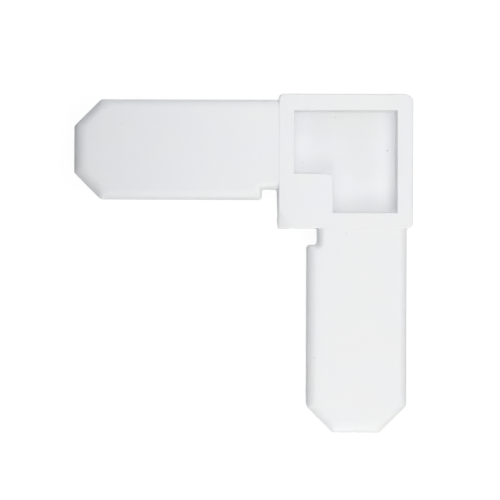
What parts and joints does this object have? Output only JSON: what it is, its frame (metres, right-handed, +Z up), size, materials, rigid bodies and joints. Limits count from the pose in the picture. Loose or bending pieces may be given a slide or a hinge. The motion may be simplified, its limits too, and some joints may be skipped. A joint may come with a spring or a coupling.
{
  "type": "screen frame corner",
  "caption": "Square-cut moulded plastic corner for a window screen frame: a cored square block with two flat plug-in arms at right angles.",
  "frame": {"origin": "middle of the square block's far face, on which the corner rests", "axes": "+Z up, out of the recessed near face; one arm runs along -X and the other along -Y"},
  "size_m": [0.048, 0.048, 0.0079],
  "materials": {
    "white_plastic": "white injection-moulded plastic with a fine satin surface, a few dirt specks"
  },
  "bodies": {
    "root": {"screen_frame_corner": "white_plastic"}
  },
  "joints": []
}
